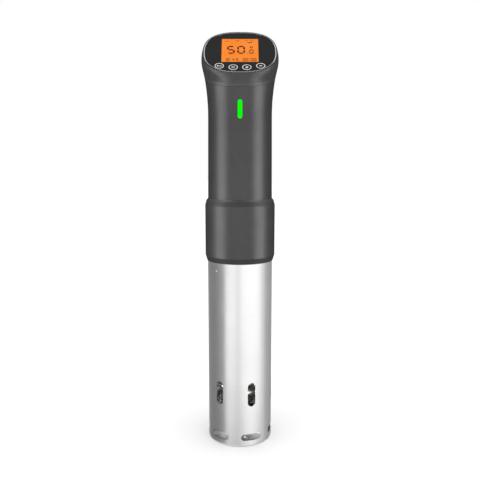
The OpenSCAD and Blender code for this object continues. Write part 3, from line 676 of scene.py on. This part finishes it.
def build_spring():
    """Torsion spring on the clip's pin: one leg lies along the bracket, the other along the arm."""
    pitch, wire_r, coil_r = 1.5 * MM, 0.65 * MM, 3.6 * MM
    still, moving = math.radians(285), math.radians(101)
    twist = moving + 4 * math.tau - still
    half = twist / math.tau * pitch / 2

    def point(x, a, along):
        return PIN + Vector((x, 0, 0)) + coil_r * Vector((0, math.sin(a), -math.cos(a))) \
            + along * Vector((0, math.cos(a), math.sin(a)))

    steps = 144
    points = [point(-half, still, d * MM) for d in (-10, -5, -1)]
    points += [point(-half + 2 * half * k / steps, still + twist * k / steps, 0) for k in range(steps + 1)]
    points += [point(half, moving, d * MM) for d in (1, 7, 14)]
    bm = bmesh.new()
    tube(bm, points, wire_r, 14)
    obj = from_bmesh("clip_spring_wire", bm, None, "spring_steel", ("clip_spring",))
    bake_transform(obj)


# ---- studio --------------------------------------------------------------------------------------

def receivers(name, objects):
    """A collection of the pieces that a lamp lights."""
    group = bpy.data.collections.new(name)
    for obj in objects:
        group.objects.link(obj)
    return group


def slot_of(obj):
    return obj.data.materials[0].name


def softbox(name, azimuth, height, distance, size, radiance, group, elevation=0.0):
    """A flat lamp of even radiance, azimuth degrees from the front to +X, that lights one group of pieces."""
    lamp = bpy.data.lights.new(name, "AREA")
    lamp.shape = "RECTANGLE"
    lamp.size, lamp.size_y = size
    lamp.energy = radiance * math.pi * size[0] * size[1]
    obj = bpy.data.objects.new(name, lamp)
    a, e = math.radians(azimuth), math.radians(elevation)
    target = Vector((0, 0, height))
    obj.location = target + distance * (math.cos(e) * heading(a) + Vector((0, 0, math.sin(e))))
    obj.rotation_mode = "QUATERNION"
    obj.rotation_quaternion = (target - obj.location).to_track_quat("-Z", "Y")
    obj.visible_camera = False
    bpy.context.scene.collection.objects.link(obj)
    obj.light_linking.receiver_collection = group


METALS = ("sleeve_steel", "cap_steel", "bright_steel", "spring_steel", "aluminium_parts",
          "bronze", "heater_steel", "copper_parts")


def build_studio():
    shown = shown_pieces()
    rim = receivers("rim", [o for o in shown if o.name == "bezel_rim"])
    head = receivers("head", [o for o in shown if o.name == "head_shell"])
    collar = receivers("collar_only", [o for o in shown if o.name == "collar_finished"])
    steel = receivers("steel", [o for o in shown if slot_of(o) in METALS])
    others = receivers("others", [o for o in shown if slot_of(o) not in (*METALS, "rim_metal")])
    inside = receivers("inside", [o for o in shown if slot_of(o) in ("heater_steel", "cap_steel")])

    bm = bmesh.new()
    bmesh.ops.create_circle(bm, cap_ends=True, segments=96, radius=6)
    mesh = bpy.data.meshes.new("floor")
    bm.to_mesh(mesh)
    bm.free()
    floor = bpy.data.objects.new("floor", mesh)
    bpy.context.scene.collection.objects.link(floor)
    floor.visible_glossy = False
    floor.visible_diffuse = False
    floor.visible_shadow = False
    bpy.data.materials.new("floor_paint").use_nodes = True
    paint = Finish("floor_paint", Roughness=0.8)
    paint.colour(paint.noise(3, 2), grey(0.86), grey(0.88))
    mesh.materials.append(bpy.data.materials["floor_paint"])

    sun = bpy.data.lights.new("floor_light", "SUN")
    sun.energy, sun.angle = 4.2, math.radians(70)
    sun_object = bpy.data.objects.new("floor_light", sun)
    bpy.context.scene.collection.objects.link(sun_object)
    sun_object.light_linking.receiver_collection = receivers("stage", [floor])

    ring = (  # azimuth from, to, lower end, and radiance of the lamps that the steel reflects
        (-180, -140, -0.65, 0.36), (-140, -84, -0.65, 0.24), (-84, -54, -0.56, 0.34), (-54, -14, -0.56, 1.18),
        (-14, 2, -0.6, 0.9), (2, 78, -0.65, 1.28), (78, 98, -0.65, 0.8), (98, 125, -0.65, 0.42),
        (125, 180, -0.65, 0.36),
    )
    distance, upper = 1.1, 1.55
    for start, end, lower, radiance in ring:
        size = (2 * distance * math.tan(math.radians(end - start) / 2), upper - lower)
        softbox(f"steel_{start}", (start + end) / 2, (upper + lower) / 2, distance, size, radiance, steel)
    softbox("steel_top", 0, 0.2, 1.6, (1.2, 1.2), 0.8, steel, 89)
    softbox("steel_floor", 0, 0, 0.5, (1.1, 1.1), 0.9, steel, -89)
    softbox("glint", 12, 0.05, 1.0, (0.5, 0.5), 14.0, inside)
    softbox("glint_back", 171, 0.02, 1.0, (1.6, 0.4), 8.0, inside, 10)

    for azimuth in (-67, 67):
        softbox(f"strip_{azimuth}", azimuth, 0.13, 1.0, (0.64, 0.8), 5.0, others)
        softbox(f"head_{azimuth}", azimuth, 0.34, 1.0, (0.6, 0.5), 3.0, head, -52)
        softbox(f"rim_{azimuth}", 1.9 * azimuth, 0.36, 1.0, (1.2, 1.4), 0.9, rim, 38)
    softbox("rim_top", 0, 0.36, 1.0, (1.2, 1.2), 0.4, rim, 89)
    softbox("rim_low", 0, 0.36, 1.0, (1.8, 0.8), 0.75, rim, -5)
    softbox("collar_top", 0, 0.23, 1.0, (0.9, 0.4), 0.8, collar, 76)
    for azimuth in (-105, 105):
        softbox(f"collar_{azimuth}", azimuth, 0.23, 1.0, (0.5, 0.4), 5.0, collar, 63)
    for azimuth in (-140, 140):
        softbox(f"back_{azimuth}", azimuth, 0.26, 1.3, (0.7, 0.7), 2.2, others, 52)
    softbox("front_fill", 0, 0.1, 1.3, (1.75, 0.95), 1.35, others)
    softbox("top_fill", 0, 0.3, 1.3, (0.9, 0.9), 0.12, others, 88)


def build_world():
    world = bpy.data.worlds.new("studio")
    bpy.context.scene.world = world
    world.use_nodes = True
    background = world.node_tree.nodes["Background"]
    background.inputs["Color"].default_value = (1, 1, 1, 1)
    background.inputs["Strength"].default_value = 1.0
    world.cycles_visibility.diffuse = False
    world.cycles_visibility.glossy = False
    bpy.context.scene.view_settings.view_transform = "Standard"


def build_camera():
    camera = bpy.data.cameras.new("camera")
    camera.lens, camera.sensor_width = 43.0, 36.0
    obj = bpy.data.objects.new("camera", camera)
    obj.location = (0, -0.531, 0.266)
    obj.rotation_euler = (math.radians(90 - 8.1), 0, 0)
    bpy.context.scene.collection.objects.link(obj)
    bpy.context.scene.camera = obj


# ---- assembly ------------------------------------------------------------------------------------

make_finishes()
build_head()
build_panel()
build_display()
build_keys()
build_heater()
build_spring()
EDGES = {
    "end_cap": 0.2, "grip": 0.2, "clip_arm": 0.7, "clip_bracket": 0.4,
    "clip_pad": 0.3, "cord_gland": 0.4, "gland_nut": 0.3, "bracket_screws": 0.15, "clip_pin": 0.3,
    "pin_clips": 0.12, "impeller": 0.25, "impeller_nut": 0.25, "rod_nuts": 0.2, "heater_nuts": 0.25,
    "pump_plate": 0.2, "chassis": 0.25, "status_light": 0.12,
}
for node, width in EDGES.items():
    refined(node, width * MM)
refined("collar", 0.5 * MM, sharp=9, segments=3)
true_round(refined("sleeve", 0.16 * MM, keep=LIP + 0.1 * MM), SLEEVE_R, LIP)
build_studio()
build_world()
build_camera()
